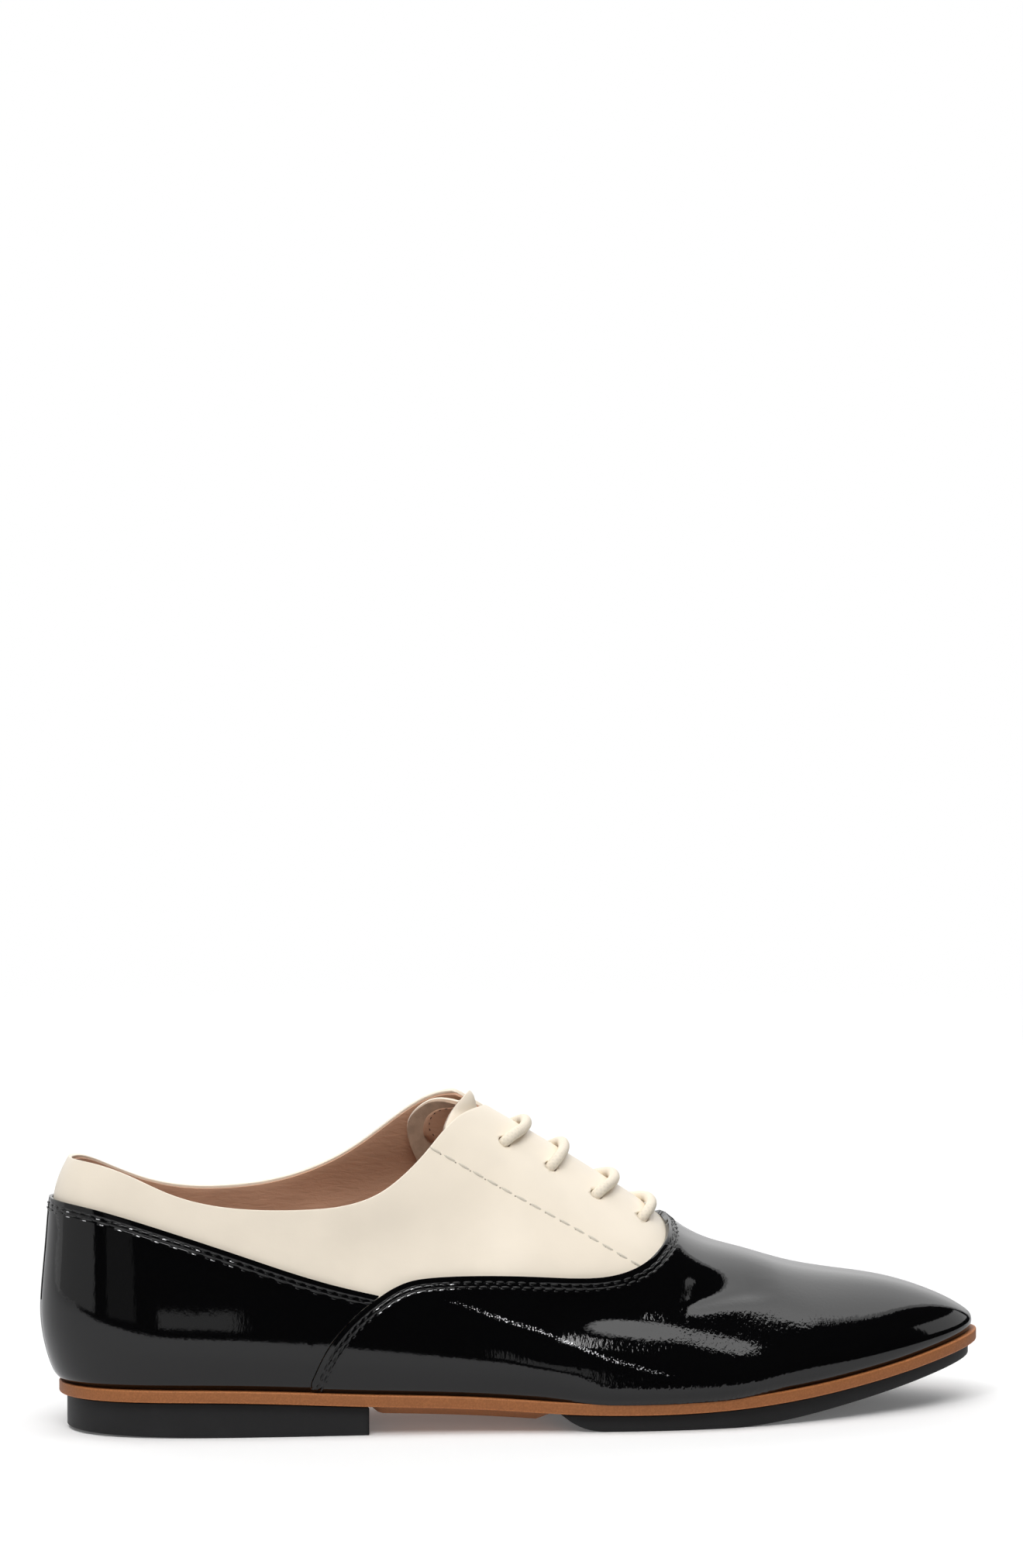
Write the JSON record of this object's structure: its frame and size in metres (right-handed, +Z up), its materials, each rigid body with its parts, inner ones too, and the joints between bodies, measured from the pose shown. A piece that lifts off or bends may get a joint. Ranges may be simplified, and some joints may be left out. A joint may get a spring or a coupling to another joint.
{
  "type": "spectator shoe",
  "caption": "Flat two-tone lace-up oxford for the right foot: cream leather quarters and black patent vamp and back on a leather sole with a low rubber heel.",
  "frame": {"origin": "centre of the bounding box's footprint, on the floor that the heel and the forefoot rest on", "axes": "+X from heel to toe, +Y to the inner (medial) side of the right foot, +Z up"},
  "size_m": [0.2662, 0.0844, 0.0908],
  "materials": {
    "cream_leather": "smooth satin calf leather",
    "black_patent": "glossy patent leather",
    "natural_leather": "burnished sole leather edge",
    "black_rubber": "matt moulded rubber",
    "lining_leather": "nude lining leather",
    "cream_cord": "round waxed cotton lace"
  },
  "bodies": {
    "root": {"upper": "cream_leather", "tongue": "cream_leather", "vamp": "black_patent", "foxing": "black_patent", "leather_sole": "natural_leather", "heel": "black_rubber", "forefoot_sole": "black_rubber", "insole": "lining_leather", "lace_bar_1": "cream_cord", "lace_bar_2": "cream_cord", "lace_bar_3": "cream_cord", "lace_bar_4": "cream_cord"}
  },
  "joints": []
}
